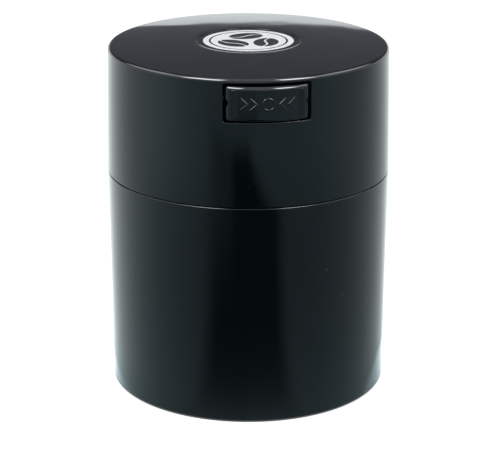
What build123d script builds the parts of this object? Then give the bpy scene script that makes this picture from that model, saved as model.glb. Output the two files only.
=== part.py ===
from build123d import *
from math import atan2, cos, degrees, hypot, pi, sin, sqrt
import os

# Round coffee canister with a deep lid. A button in the front of the lid opens an air valve.
# Millimetres. +Z is up, the origin is the centre of the foot, and the button faces -Y.

os.makedirs("parts", exist_ok=True)

# Outside of canister and lid
lid_mouth_radius = 71.6
lid_draft = 1.2
shoulder_step = 0.2
foot_draft = 1.1
seam_height = 112.3
seam_gap = 0.4
rim_height = 175.6
dome_rise = 2.3
rim_rounding = 1.2
edge_rounding = 0.4

# Canister walls
floor_thickness = 3.0
foot_recess = 1.2
foot_ring_width = 8.0
foot_rounding = 2.0
floor_rounding = 6.0
neck_clearance = 0.35
mouth_wall = 1.5
mouth_rounding = 0.5
mouth_below_rim = 25.6
inside_draft = 0.8

# Lid shell
skirt_wall = 1.6
lid_top_wall = 2.0
lid_corner_rounding = 1.2
window_width = 42.2
window_height = 19.0
window_below_rim = 2.3
window_rounding = 1.3
recess_radius = 25.75
recess_depth = 0.7
label_clearance = 0.4
label_thickness = 0.4

# Plug under the lid
plug_depth = 12.0
plug_floor = 2.2
plug_clearance = 0.9
plug_chamfer = 1.5
rest_gap = 0.1
ledge_thickness = 2.0
collar_wall = 2.0
weld_below_rim = 4.8
groove_depth = 2.2
groove_rise = 3.6
band_wall = 1.8
seal_height = 3.6
seal_play = 0.05
seal_clearance = 0.3
seal_lip = 0.8

# Button
button_gap = 1.1
button_crown = 2.6
button_travel = 3.5
button_depth = 15.8
face_wall = 2.2
button_wall = 1.8
face_rounding = 1.3
button_corner_rounding = 1.4
notch_radius = 1.7
notch_offset = 0.6
rail_play = 0.3
slide_play = 0.35
hook_drop = 1.8
hook_width = 4.0
hook_thickness = 1.0
hook_ramp = 2.0
hook_play = 0.3
bay_play = 0.9
bay_margin = 0.5
arm_inset = 5.5
arm_thickness = 2.5
arm_margin = 2.4
arm_tail = 3.9
slot_overrun = 0.2
pad_width = 7.6
pad_depth = 4.3
spring_across = 13.4
spigot_radius = 2.0
spigot_length = 3.0

# Valve
valve_lift = 2.5
pin_radius = 1.5
pin_fit = 0.03
pin_overhang = 0.5
slot_clearance = 0.08
rod_radius = 3.0
rod_head = 2.5
rod_chamfer = 0.4
rod_play = 0.08
flange_radius = 7.0
flange_thickness = 1.6
flange_spigot_radius = 4.1
flange_spigot_height = 1.5
port_radius = 4.0
seat_width = 1.6
seat_rise = 1.2
closed_gap = 0.05
valve_seal_thickness = 2.0
valve_seal_overhang = 0.2
nose_radius = 2.4
nose_fit = 0.05
bead_radius = 3.0
bead_height = 1.4
bead_gap = 0.1

# Bridge, guides and springs
guide_wall = 2.2
stop_gap = 1.0
bridge_clearance = 1.3
bridge_width = 8.0
bridge_thickness = 2.2
bridge_below_arms = 1.8
bridge_boss_radius = 4.2
bridge_boss_drop = 2.4
post_across = 13.0
post_radius = 3.2
screw_radius = 1.25
screw_grip = 7.0
screw_hole_play = 0.2
screw_head_radius = 2.5
screw_head_height = 1.7
screw_socket_radius = 1.0
button_spring_radius = 3.1
button_spring_wire = 0.7
button_spring_turns = 5
valve_spring_radius = 5.2
valve_spring_wire = 0.8
valve_spring_turns = 3
spring_end_gap = 0.05
wire_sides = 6

# One overrun serves all cuts.
overrun = 5.0

# The lid's skirt leans inwards towards the rim, and the neck under it leans alike.
# The canister's shoulder stands back a little under the lid, and its wall leans in to the foot.
rim_radius = lid_mouth_radius - lid_draft
shoulder_radius = lid_mouth_radius - shoulder_step
foot_radius = shoulder_radius - foot_draft


def lid_radius(height):
    """Outside radius of the lid's skirt at a height."""
    lean = (rim_radius - lid_mouth_radius) / (rim_height - seam_height)
    return lid_mouth_radius + lean * (height - seam_height)


def lid_bore(height):
    """Inside radius of the lid's skirt at a height."""
    return lid_radius(height) - skirt_wall


def neck_radius(height):
    """Outside radius of the canister's neck at a height."""
    return lid_bore(height) - neck_clearance


shoulder_height = seam_height - seam_gap
mouth_height = rim_height - mouth_below_rim
mouth_radius = neck_radius(mouth_height) - mouth_wall
inside_floor = foot_recess + floor_thickness
inside_floor_radius = mouth_radius - inside_draft


def inside_radius(height):
    """Inside radius of the canister at a height: a little wider towards the mouth."""
    share_up = (height - inside_floor) / (mouth_height - inside_floor)
    return inside_floor_radius + inside_draft * share_up


dome_radius = (rim_radius**2 + dome_rise**2) / (2 * dome_rise)


def dome_height(radius):
    """Height of the domed top at a distance from the axis."""
    return rim_height + dome_rise - (dome_radius - sqrt(dome_radius**2 - radius**2))


# Button and window
window_top = rim_height - window_below_rim
window_middle = window_top - window_height / 2
window_bottom = window_top - window_height
button_width = window_width - 2 * button_gap
button_height = window_height - 2 * button_gap
button_bottom = window_bottom + button_gap
face_front = -(lid_radius(window_middle) + button_crown)
face_corner = -sqrt(lid_radius(window_middle) ** 2 - (button_width / 2) ** 2)
face_sagitta = face_corner - face_front
face_radius = ((button_width / 2) ** 2 + face_sagitta**2) / (2 * face_sagitta)
face_centre = face_front + face_radius
button_rear = face_corner + button_depth
pad_front = face_front + face_wall + pad_depth
bay_floor = button_bottom - hook_drop - bay_play
bay_half = window_width / 2 + bay_margin

# Plug walls
plug_bottom = mouth_height - plug_depth
plug_radius = inside_radius(plug_bottom) - plug_clearance
groove_radius = plug_radius - groove_depth
plug_inside = groove_radius - band_wall
collar_radius = plug_inside + collar_wall
floor_top = plug_bottom + plug_floor
groove_bottom = plug_bottom + groove_rise
groove_top = groove_bottom + seal_height + 2 * seal_play
ledge_bottom = mouth_height + rest_gap
ledge_top = ledge_bottom + ledge_thickness
ledge_radius = neck_radius(mouth_height)
weld_height = rim_height - weld_below_rim

# Guides behind the button
cheek_inside = button_width / 2 + slide_play
cheek_outside = cheek_inside + guide_wall
cheek_front = -sqrt(((plug_inside + collar_radius) / 2) ** 2 - cheek_outside**2)
stop_front = button_rear + button_travel + stop_gap
stop_rear = stop_front + guide_wall
stop_inside = arm_inset + arm_thickness + stop_gap
rail_across = button_width / 2 + notch_offset

# Valve, from the seat up
valve_place = stop_rear + bridge_clearance + bridge_width / 2
seat_top = floor_top + seat_rise
valve_seal_bottom = seat_top + closed_gap
flange_bottom = valve_seal_bottom + valve_seal_thickness
flange_top = flange_bottom + flange_thickness
valve_seal_radius = port_radius + seat_width + valve_seal_overhang
arm_bottom = button_bottom + button_wall / 2
pin_height = arm_bottom + arm_margin + pin_radius
arm_top = pin_height + valve_lift + pin_radius + arm_margin
arm_rear = valve_place + pin_radius + arm_tail
bridge_top = arm_bottom - bridge_below_arms
bridge_bottom = bridge_top - bridge_thickness
rod_top = pin_height + pin_radius + rod_head


def corner(shape, across, height):
    """The corner of a sketch that lies nearest to a place."""
    return shape.vertices().sort_by_distance((across, height))[0]


# The canister is turned about its axis: foot ring, drafted wall, shoulder and neck.
with BuildPart() as canister_body:
    with BuildSketch(Plane.XZ) as section:
        with BuildLine():
            Polyline(
                (0, foot_recess),
                (foot_radius - foot_ring_width, foot_recess),
                (foot_radius - foot_ring_width, 0),
                (foot_radius, 0),
                (shoulder_radius, shoulder_height),
                (neck_radius(shoulder_height), shoulder_height),
                (neck_radius(mouth_height), mouth_height),
                (mouth_radius, mouth_height),
                (inside_floor_radius, inside_floor),
                (0, inside_floor),
                close=True,
            )
        make_face()
        fillet(corner(section, foot_radius, 0), foot_rounding)
        fillet(corner(section, shoulder_radius, shoulder_height), edge_rounding)
        fillet(corner(section, inside_floor_radius, inside_floor), floor_rounding)
        fillet(corner(section, neck_radius(mouth_height), mouth_height), mouth_rounding)
        fillet(corner(section, mouth_radius, mouth_height), mouth_rounding)
    revolve(axis=Axis.Z)
canister_body.part.label = "canister_body"
export_step(canister_body.part, "parts/canister_body.step")

# The lid shell is turned too: domed top, leaning skirt, and a ring that the plug is welded to.
# The window for the button is cut through the front of the skirt.
top_inside = rim_height - lid_top_wall
inner_dome = dome_radius - lid_top_wall


def under_dome(radius):
    """Height of the underside of the lid's top at a distance from the axis."""
    return rim_height + dome_rise - dome_radius + sqrt(inner_dome**2 - radius**2)


with BuildPart() as lid_shell:
    with BuildSketch(Plane.XZ) as section:
        with BuildLine():
            Line((0, under_dome(0)), (0, dome_height(0)))
            ThreePointArc(
                (0, dome_height(0)),
                (rim_radius / 2, dome_height(rim_radius / 2)),
                (rim_radius, rim_height),
            )
            Polyline(
                (rim_radius, rim_height),
                (lid_mouth_radius, seam_height),
                (lid_bore(seam_height), seam_height),
                (lid_bore(top_inside), under_dome(lid_bore(top_inside))),
            )
            ThreePointArc(
                (lid_bore(top_inside), under_dome(lid_bore(top_inside))),
                (rim_radius / 2, under_dome(rim_radius / 2)),
                (0, under_dome(0)),
            )
        make_face()
        fillet(corner(section, rim_radius, rim_height), rim_rounding)
        fillet(corner(section, lid_mouth_radius, seam_height), edge_rounding)
        inner_corner = corner(section, lid_bore(top_inside), under_dome(lid_bore(top_inside)))
        fillet(inner_corner, lid_corner_rounding)
        with Locations(((plug_inside + collar_radius) / 2, weld_height)):
            Rectangle(
                collar_wall,
                dome_height(collar_radius) - lid_top_wall / 2 - weld_height,
                align=(Align.CENTER, Align.MIN),
            )
    revolve(axis=Axis.Z)
    with BuildSketch(Plane.XY.offset(dome_height(recess_radius) - recess_depth)):
        Circle(recess_radius)
    extrude(amount=dome_rise + recess_depth, mode=Mode.SUBTRACT)
    with BuildSketch(Plane.XZ.offset(collar_radius + bay_margin)):
        with Locations((0, window_middle)):
            RectangleRounded(window_width, window_height, window_rounding)
    extrude(amount=lid_mouth_radius, mode=Mode.SUBTRACT)
    with BuildSketch(Plane.XZ.offset(-stop_front)):
        with Locations((0, window_top)):
            Rectangle(2 * bay_half, window_height, align=(Align.CENTER, Align.MAX))
    extrude(amount=collar_radius + bay_margin + stop_front, mode=Mode.SUBTRACT)
lid_shell.part.label = "lid_shell"
export_step(lid_shell.part, "parts/lid_shell.step")

# A thin round sticker lies in the recess of the top.
label_height = dome_height(recess_radius) - recess_depth
with BuildPart() as label_disc:
    with BuildSketch(Plane.XY.offset(label_height)):
        Circle(recess_radius - label_clearance)
    extrude(amount=label_thickness)
label_disc.part.label = "label_disc"
export_step(label_disc.part, "parts/label_disc.step")

# The plug: floor, band with the seal's groove, ledge on the canister's mouth and collar.
# On its floor stand the valve seat, two posts for the bridge, and the guides of the button.
with BuildPart() as inner_lid:
    with BuildSketch(Plane.XZ) as section:
        with BuildLine():
            Polyline(
                (0, plug_bottom),
                (plug_radius, plug_bottom),
                (plug_radius, groove_bottom),
                (groove_radius, groove_bottom),
                (groove_radius, groove_top),
                (plug_radius, groove_top),
                (plug_radius, ledge_bottom),
                (ledge_radius, ledge_bottom),
                (ledge_radius, ledge_top),
                (collar_radius, ledge_top),
                (collar_radius, weld_height),
                (plug_inside, weld_height),
                (plug_inside, floor_top),
                (0, floor_top),
                close=True,
            )
        make_face()
        chamfer(corner(section, plug_radius, plug_bottom), plug_chamfer)
    revolve(axis=Axis.Z)
    # The bay for the button is open to the front and to the lid's top.
    with BuildSketch(Plane.XZ.offset(-stop_front)):
        with Locations((0, bay_floor)):
            Rectangle(2 * bay_half, window_height + overrun, align=(Align.CENTER, Align.MIN))
    extrude(amount=collar_radius, mode=Mode.SUBTRACT)
    # Cheeks beside the button, and stops behind it for its springs
    with BuildSketch(Plane.XY.offset(floor_top)):
        for side in (-1, 1):
            with Locations((side * (cheek_inside + guide_wall / 2), cheek_front)):
                Rectangle(guide_wall, stop_rear - cheek_front, align=(Align.CENTER, Align.MIN))
            with Locations((side * (stop_inside + cheek_outside) / 2, stop_front)):
                Rectangle(
                    cheek_outside - stop_inside, guide_wall, align=(Align.CENTER, Align.MIN)
                )
    extrude(amount=weld_height - floor_top)
    # A half-round rail on each cheek runs in the groove of the button's end.
    with BuildSketch(Plane.XZ.offset(-stop_front)):
        with Locations((-rail_across, window_middle), (rail_across, window_middle)):
            Circle(notch_radius - rail_play)
    extrude(amount=stop_front - cheek_front)
    with BuildSketch(Plane.XZ.offset(-stop_front)):
        with Locations((-spring_across, window_middle), (spring_across, window_middle)):
            Circle(spigot_radius)
    extrude(amount=spigot_length)
    # Valve seat and bridge posts
    with BuildSketch(Plane.XY.offset(floor_top)):
        with Locations((0, valve_place)):
            Circle(port_radius + seat_width)
    extrude(amount=seat_rise)
    with BuildSketch(Plane.XY.offset(plug_bottom)):
        with Locations((0, valve_place)):
            Circle(port_radius)
    extrude(amount=plug_floor + seat_rise, mode=Mode.SUBTRACT)
    with BuildSketch(Plane.XY.offset(floor_top)):
        with Locations((-post_across, valve_place), (post_across, valve_place)):
            Circle(post_radius)
    extrude(amount=bridge_bottom - floor_top)
    with BuildSketch(Plane.XY.offset(bridge_bottom)):
        with Locations((-post_across, valve_place), (post_across, valve_place)):
            Circle(screw_radius)
    extrude(amount=-(screw_grip + screw_hole_play), mode=Mode.SUBTRACT)
inner_lid.part.label = "inner_lid"
export_step(inner_lid.part, "parts/inner_lid.step")

# The seal ring fills the groove and bulges out to the canister's wall.
with BuildPart() as plug_seal:
    seal_low = groove_bottom + seal_play
    seal_high = seal_low + seal_height
    seal_reach = inside_radius(seal_low) - seal_clearance
    with BuildSketch(Plane.XZ):
        with BuildLine():
            Polyline(
                (plug_radius, seal_low),
                (groove_radius + seal_play, seal_low),
                (groove_radius + seal_play, seal_high),
                (plug_radius, seal_high),
            )
            Line((plug_radius, seal_low), (seal_reach - seal_lip / 2, seal_low + seal_lip))
            Line((plug_radius, seal_high), (seal_reach - seal_lip / 2, seal_high - seal_lip))
            ThreePointArc(
                (seal_reach - seal_lip / 2, seal_low + seal_lip),
                (seal_reach, (seal_low + seal_high) / 2),
                (seal_reach - seal_lip / 2, seal_high - seal_lip),
            )
        make_face()
    revolve(axis=Axis.Z)
plug_seal.part.label = "plug_seal"
export_step(plug_seal.part, "parts/plug_seal.step")

# The button is a hollow cap with a bulged face. Two arms behind the face have slanted slots
# that lift the valve's cross pin, and a half-round groove runs along each end.
with BuildPart() as press_button:
    with BuildSketch(Plane.XY.offset(button_bottom)):
        with BuildLine():
            ThreePointArc(
                (-button_width / 2, face_corner), (0, face_front), (button_width / 2, face_corner)
            )
            Polyline(
                (button_width / 2, face_corner),
                (button_width / 2, button_rear),
                (-button_width / 2, button_rear),
                (-button_width / 2, face_corner),
            )
        make_face()
    extrude(amount=button_height)
    fillet(press_button.edges().filter_by(Axis.Y), button_corner_rounding)
    fillet(press_button.faces().sort_by(Axis.Y)[0].edges(), face_rounding)
    # Hollow behind the face, with a pad left for each spring
    inner_half = button_width / 2 - button_wall
    inner_radius = face_radius - face_wall
    inner_corner_y = face_centre - sqrt(inner_radius**2 - inner_half**2)
    with BuildSketch(Plane.XY.offset(button_bottom + button_wall)):
        with BuildLine():
            ThreePointArc(
                (-inner_half, inner_corner_y),
                (0, face_front + face_wall),
                (inner_half, inner_corner_y),
            )
            Polyline(
                (inner_half, inner_corner_y),
                (inner_half, button_rear + overrun),
                (-inner_half, button_rear + overrun),
                (-inner_half, inner_corner_y),
            )
        make_face()
        with Locations((-spring_across, pad_front), (spring_across, pad_front)):
            Rectangle(
                pad_width, face_radius, align=(Align.CENTER, Align.MAX), mode=Mode.SUBTRACT
            )
    extrude(amount=button_height - 2 * button_wall, mode=Mode.SUBTRACT)
    with BuildSketch(Plane.XZ.offset(-pad_front)):
        with Locations((-spring_across, window_middle), (spring_across, window_middle)):
            Circle(spigot_radius)
    extrude(amount=-spigot_length)
    # Guide grooves in both ends
    with BuildSketch(Plane.XZ.offset(-button_rear)):
        with Locations((-rail_across, window_middle), (rail_across, window_middle)):
            Circle(notch_radius)
    extrude(amount=button_depth + button_crown, mode=Mode.SUBTRACT)
    # Arms with slanted slots: the slot's slope is the valve's lift over the button's travel.
    slot_angle = -degrees(atan2(valve_lift, button_travel))
    with BuildSketch(Plane.YZ.offset(arm_inset)):
        with BuildLine():
            Polyline(
                (face_front + face_wall / 2, arm_bottom),
                (arm_rear, arm_bottom),
                (arm_rear, arm_top),
                (face_front + face_wall / 2, arm_top),
                close=True,
            )
        make_face()
        with Locations((valve_place - button_travel / 2, pin_height + valve_lift / 2)):
            SlotCenterToCenter(
                hypot(button_travel, valve_lift) + 2 * slot_overrun,
                2 * (pin_radius + slot_clearance),
                rotation=slot_angle,
                mode=Mode.SUBTRACT,
            )
    arms = extrude(amount=arm_thickness)
    mirror(arms, about=Plane.YZ)
    # Snap hooks below the button catch behind the edge of the window.
    hook_outside = spring_across + hook_width / 2
    hook_front = hook_play - sqrt(lid_bore(window_bottom) ** 2 - hook_outside**2)
    with BuildSketch(Plane.YZ.offset(hook_outside)):
        with BuildLine():
            Polyline(
                (hook_front, button_bottom + button_wall / 2),
                (hook_front, button_bottom - hook_drop),
                (hook_front + hook_thickness, button_bottom - hook_drop),
                (hook_front + hook_thickness + hook_ramp, button_bottom),
                (hook_front + hook_thickness + hook_ramp, button_bottom + button_wall / 2),
                close=True,
            )
        make_face()
    hook = extrude(amount=-hook_width)
    mirror(hook, about=Plane.YZ)
press_button.part.label = "press_button"
export_step(press_button.part, "parts/press_button.step")


def coil_edges(frame, radius, length, turns):
    """Edges of a coil about a plane's normal. Each half turn is two arcs that meet smoothly:
    their meeting point lies a little off the coil's radius, where their headings agree."""
    half_turns = 2 * turns
    rise = length / half_turns
    slope = rise / (pi * radius)
    half_rise = rise / 2
    lean = slope * half_rise
    meeting_radius = sqrt(lean**2 + radius**2 + half_rise**2) - lean
    edges = []
    start = frame.origin + frame.x_dir * radius
    heading = (frame.y_dir + frame.z_dir * slope).normalized()
    for step in range(1, 2 * half_turns + 1):
        angle = step * pi / 2
        reach = meeting_radius if step % 2 else radius
        spoke = frame.x_dir * cos(angle) + frame.y_dir * sin(angle)
        end = frame.origin + spoke * reach + frame.z_dir * (step * half_rise)
        edge = Edge.make_tangent_arc(start, heading, end)
        edges.append(edge)
        start = edge @ 1
        heading = edge % 1
    return edges


def coil_wire(edges, wire):
    """The wire of a coil: each arc turns the wire's section about the arc's own centre, and
    the sides of all the arcs are sewn to one skin with an end face at each end."""
    with BuildSketch(Plane(origin=edges[0] @ 0, z_dir=edges[0] % 0)) as section:
        RegularPolygon(wire / 2, side_count=wire_sides)
    end_face = section.sketch.faces()[0]
    skin = [end_face]
    for edge in edges:
        spoke = edge @ 0 - edge.arc_center
        arc_axis = Axis(edge.arc_center, spoke.cross(edge % 0))
        bend = Solid.revolve(end_face, degrees(edge.length / edge.radius), arc_axis)
        end_face = bend.faces().sort_by_distance(edge @ 1)[0]
        start_face = bend.faces().sort_by_distance(edge @ 0)[0]
        skin += [face for face in bend.faces() if face not in (start_face, end_face)]
    return Solid(Shell(skin + [end_face]))


# The button's two springs stand between the pads and the stops, over the spigots.
for spring_name, side in (("button_spring_left", -1), ("button_spring_right", 1)):
    spring_start = pad_front + spring_end_gap + button_spring_wire / 2
    spring_length = stop_front - pad_front - 2 * spring_end_gap - button_spring_wire
    with BuildPart() as button_spring:
        spring_frame = Plane(
            origin=(side * spring_across, spring_start, window_middle),
            x_dir=(1, 0, 0),
            z_dir=(0, 1, 0),
        )
        coil = coil_edges(spring_frame, button_spring_radius, spring_length, button_spring_turns)
        add(coil_wire(coil, button_spring_wire))
    button_spring.part.label = spring_name
    export_step(button_spring.part, f"parts/{spring_name}.step")

# The valve's rod: bead and nose that hold the seal, flange, and a shaft with a cross hole.
with BuildPart() as valve_rod:
    nose_bottom = valve_seal_bottom - bead_gap
    with BuildSketch(Plane.XZ.offset(-valve_place)):
        with BuildLine():
            Polyline(
                (0, nose_bottom - bead_height),
                (nose_radius, nose_bottom - bead_height),
                (bead_radius, nose_bottom),
                (nose_radius, nose_bottom),
                (nose_radius, flange_bottom),
                (flange_radius, flange_bottom),
                (flange_radius, flange_top),
                (flange_spigot_radius, flange_top),
                (flange_spigot_radius, flange_top + flange_spigot_height),
                (rod_radius, flange_top + flange_spigot_height),
                (rod_radius, rod_top),
                (0, rod_top),
                close=True,
            )
        make_face()
    revolve(axis=Axis((0, valve_place, 0), (0, 0, 1)))
    with BuildSketch(Plane.YZ.offset(-rod_radius)):
        with Locations((valve_place, pin_height)):
            Circle(pin_radius + pin_fit)
    extrude(amount=2 * rod_radius, mode=Mode.SUBTRACT)
    chamfer(valve_rod.edges().group_by(Axis.Z)[-1], rod_chamfer)
valve_rod.part.label = "valve_rod"
export_step(valve_rod.part, "parts/valve_rod.step")

# A steel pin crosses the rod and runs in the slots of the button's arms.
with BuildPart() as lift_pin:
    pin_half = arm_inset + arm_thickness + pin_overhang
    with BuildSketch(Plane.YZ.offset(-pin_half)):
        with Locations((valve_place, pin_height)):
            Circle(pin_radius)
    extrude(amount=2 * pin_half)
lift_pin.part.label = "lift_pin"
export_step(lift_pin.part, "parts/lift_pin.step")

# The rubber washer that closes the valve
with BuildPart() as valve_seal:
    with BuildSketch(Plane.XY.offset(valve_seal_bottom)):
        with Locations((0, valve_place)):
            Circle(valve_seal_radius)
            Circle(nose_radius + nose_fit, mode=Mode.SUBTRACT)
    extrude(amount=valve_seal_thickness)
valve_seal.part.label = "valve_seal"
export_step(valve_seal.part, "parts/valve_seal.step")

# The bridge over the valve guides its rod and holds its spring down.
with BuildPart() as guide_bridge:
    with BuildSketch(Plane.XY.offset(bridge_bottom)):
        with Locations((0, valve_place)):
            SlotCenterToCenter(2 * post_across, bridge_width)
    extrude(amount=bridge_thickness)
    with BuildSketch(Plane.XY.offset(bridge_bottom)):
        with Locations((0, valve_place)):
            Circle(bridge_boss_radius)
    extrude(amount=-bridge_boss_drop)
    with BuildSketch(Plane.XY.offset(bridge_bottom - bridge_boss_drop)):
        with Locations((0, valve_place)):
            Circle(rod_radius + rod_play)
    extrude(amount=bridge_boss_drop + bridge_thickness, mode=Mode.SUBTRACT)
    with BuildSketch(Plane.XY.offset(bridge_bottom)):
        with Locations((-post_across, valve_place), (post_across, valve_place)):
            Circle(screw_radius + screw_hole_play)
    extrude(amount=bridge_thickness, mode=Mode.SUBTRACT)
guide_bridge.part.label = "guide_bridge"
export_step(guide_bridge.part, "parts/guide_bridge.step")

# Two small screws fasten the bridge to its posts.
with BuildPart() as bridge_screws:
    with BuildSketch(Plane.XY.offset(bridge_top)):
        with Locations((-post_across, valve_place), (post_across, valve_place)):
            Circle(screw_head_radius)
    extrude(amount=screw_head_height)
    with BuildSketch(Plane.XY.offset(bridge_top)):
        with Locations((-post_across, valve_place), (post_across, valve_place)):
            Circle(screw_radius)
    extrude(amount=-(bridge_thickness + screw_grip))
    with BuildSketch(Plane.XY.offset(bridge_top + screw_head_height)):
        with Locations((-post_across, valve_place), (post_across, valve_place)):
            RegularPolygon(screw_socket_radius, side_count=6)
    extrude(amount=-screw_head_height / 2, mode=Mode.SUBTRACT)
bridge_screws.part.label = "bridge_screws"
export_step(bridge_screws.part, "parts/bridge_screws.step")

# The valve's spring presses the flange down, from under the bridge.
with BuildPart() as valve_spring:
    valve_spring_start = flange_top + spring_end_gap + valve_spring_wire / 2
    valve_spring_length = bridge_bottom - flange_top - 2 * spring_end_gap - valve_spring_wire
    valve_spring_frame = Plane(origin=(0, valve_place, valve_spring_start))
    coil = coil_edges(
        valve_spring_frame, valve_spring_radius, valve_spring_length, valve_spring_turns
    )
    add(coil_wire(coil, valve_spring_wire))
valve_spring.part.label = "valve_spring"
export_step(valve_spring.part, "parts/valve_spring.step")
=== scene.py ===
from math import cos, pi, radians, sin, sqrt, tan

import bmesh
import bpy
import numpy as np
from mathutils import Matrix, Vector


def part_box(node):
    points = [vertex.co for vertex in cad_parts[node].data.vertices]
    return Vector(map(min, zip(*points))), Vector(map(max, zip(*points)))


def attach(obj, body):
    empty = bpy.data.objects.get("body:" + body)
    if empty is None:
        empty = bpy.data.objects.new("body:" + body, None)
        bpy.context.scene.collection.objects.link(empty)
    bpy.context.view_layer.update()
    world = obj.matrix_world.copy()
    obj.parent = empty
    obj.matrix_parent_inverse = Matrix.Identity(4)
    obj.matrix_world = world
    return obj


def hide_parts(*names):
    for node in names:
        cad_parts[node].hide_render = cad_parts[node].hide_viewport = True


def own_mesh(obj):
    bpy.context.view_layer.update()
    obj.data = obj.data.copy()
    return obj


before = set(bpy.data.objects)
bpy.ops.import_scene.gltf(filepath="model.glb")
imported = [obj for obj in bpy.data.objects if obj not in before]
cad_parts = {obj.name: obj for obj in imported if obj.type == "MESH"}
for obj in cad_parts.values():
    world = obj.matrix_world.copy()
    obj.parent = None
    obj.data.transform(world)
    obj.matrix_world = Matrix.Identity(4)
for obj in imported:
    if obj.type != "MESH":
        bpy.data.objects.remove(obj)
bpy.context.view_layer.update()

# The photograph's view: a long lens about a metre away, a little left of the button, looking
# down on the lid. The canister stands a touch left of the frame's middle.
camera_distance = 0.9926
camera_height = 0.4155
camera_turn = radians(-7.55)
camera_pitch = radians(18.68)
camera_roll = radians(0.11)
camera_lens = 146.4
camera_shift = 0.0039
camera_data = bpy.data.cameras.new("photo_camera")
camera_data.lens = camera_lens
camera_data.shift_x = camera_shift
camera = bpy.data.objects.new("photo_camera", camera_data)
camera_place = Vector((sin(camera_turn), -cos(camera_turn), 0)) * camera_distance
camera_place.z = camera_height
camera.matrix_world = (
    Matrix.Translation(camera_place)
    @ Matrix.Rotation(camera_turn, 4, "Z")
    @ Matrix.Rotation(pi / 2 - camera_pitch, 4, "X")
    @ Matrix.Rotation(camera_roll, 4, "Z")
)
bpy.context.scene.collection.objects.link(camera)
bpy.context.scene.camera = camera
bpy.context.scene.view_settings.view_transform = "Standard"

# Plain soft studio light: two softboxes in front, one large panel overhead, and a pale room that
# camera, mirror and glass rays see as white. Gloss doesn't see the lamps: their highlights are painted
# as glowing softbox faces on a dome below.
softbox_side = 0.5
softbox_distance = 1.2
softbox_turn = radians(42)
softbox_lift = radians(40)
softbox_power = 6.0
panel_side = 0.9
panel_height = 1.35
panel_power = 4.0
light_colour = (0.96, 1.0, 1.02)
light_target = Vector((0, 0, 0.12))


def add_panel(name, place, side, power):
    """A square lamp at a place, facing the canister."""
    lamp_data = bpy.data.lights.new(name, "AREA")
    lamp_data.size = side
    lamp_data.energy = power
    lamp_data.color = light_colour
    lamp = bpy.data.objects.new(name, lamp_data)
    lamp.location = place
    lamp.rotation_euler = (light_target - place).to_track_quat("-Z", "Y").to_euler()
    lamp.visible_camera = False
    # Gloss doesn't see the lamp: its highlight is painted on the dome of painted reflections.
    lamp.visible_glossy = False
    bpy.context.scene.collection.objects.link(lamp)


for side_name, side in (("left", -1), ("right", 1)):
    turn = camera_turn + side * softbox_turn
    heading = Vector((sin(turn) * cos(softbox_lift), -cos(turn) * cos(softbox_lift), sin(softbox_lift)))
    place = light_target + heading * softbox_distance
    add_panel(f"softbox_{side_name}", place, softbox_side, softbox_power)
add_panel("overhead_panel", Vector((0, 0, panel_height)), panel_side, panel_power)

room_light = 0.15
white = (1, 1, 1, 1)


def add_node(beside, kind, values={}, operation=None):
    """A new shader node in the tree of another, with its inputs' values and its operation."""
    node = beside.id_data.nodes.new(f"ShaderNode{kind}")
    if operation:
        node.operation = operation
    for entry, value in values.items():
        node.inputs[entry].default_value = value
    return node


def join(*joins):
    """Links, each (a node, its output, a node of the same tree, its input)."""
    for start, output, end, entry in joins:
        start.id_data.links.new(start.outputs[output], end.inputs[entry])


world = bpy.data.worlds.new("studio")
world.use_nodes = True
bpy.context.scene.world = world
room = world.node_tree.nodes["Background"]
room.inputs["Color"].default_value = white
room.inputs["Strength"].default_value = room_light
backdrop = add_node(room, "Background", {"Color": white})
ray = add_node(room, "LightPath")
seen_or_mirrored = add_node(room, "Math", operation="MAXIMUM")
seen_at_all = add_node(room, "Math", operation="MAXIMUM")
choice = add_node(room, "MixShader")
join(
    (ray, "Is Camera Ray", seen_or_mirrored, 0),
    (ray, "Is Glossy Ray", seen_or_mirrored, 1),
    (seen_or_mirrored, 0, seen_at_all, 0),
    (ray, "Is Transmission Ray", seen_at_all, 1),
    (seen_at_all, 0, choice, 0),
    (room, 0, choice, 1),
    (backdrop, 0, choice, 2),
    (choice, 0, world.node_tree.nodes["World Output"], 0),
)


def new_material(name, values={}):
    """A new node material, and its shader with these values."""
    material = bpy.data.materials.new(name)
    material.use_nodes = True
    shader = material.node_tree.nodes["Principled BSDF"]
    for entry, value in values.items():
        shader.inputs[entry].default_value = value
    return material, shader


def surface(name, grids, material, smooth_limit=radians(30)):
    """A mesh from grids of points. Each grid is (points, close rows, close columns): a closed
    direction joins its last points to its first. Doubles are merged, and faces turned outwards."""
    places = []
    quads = []
    count = 0
    for points, close_rows, close_columns in grids:
        rows, columns = points.shape[:2]
        index = np.arange(rows * columns).reshape(rows, columns) + count
        if close_rows:
            index = np.vstack([index, index[:1]])
        if close_columns:
            index = np.hstack([index, index[:, :1]])
        quad = np.stack([index[:-1, :-1], index[:-1, 1:], index[1:, 1:], index[1:, :-1]], -1)
        places.append(points.reshape(-1, 3))
        quads.append(quad.reshape(-1, 4))
        count += rows * columns
    mesh = bpy.data.meshes.new(name)
    mesh.from_pydata(np.vstack(places).tolist(), [], np.vstack(quads).tolist())
    work = bmesh.new()
    work.from_mesh(mesh)
    bmesh.ops.remove_doubles(work, verts=work.verts, dist=1e-7)
    bmesh.ops.recalc_face_normals(work, faces=work.faces)
    work.to_mesh(mesh)
    work.free()
    mesh.shade_smooth()
    mesh.set_sharp_from_angle(angle=smooth_limit)
    mesh.materials.append(material)
    piece = bpy.data.objects.new(name, mesh)
    bpy.context.scene.collection.objects.link(piece)
    return piece


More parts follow.
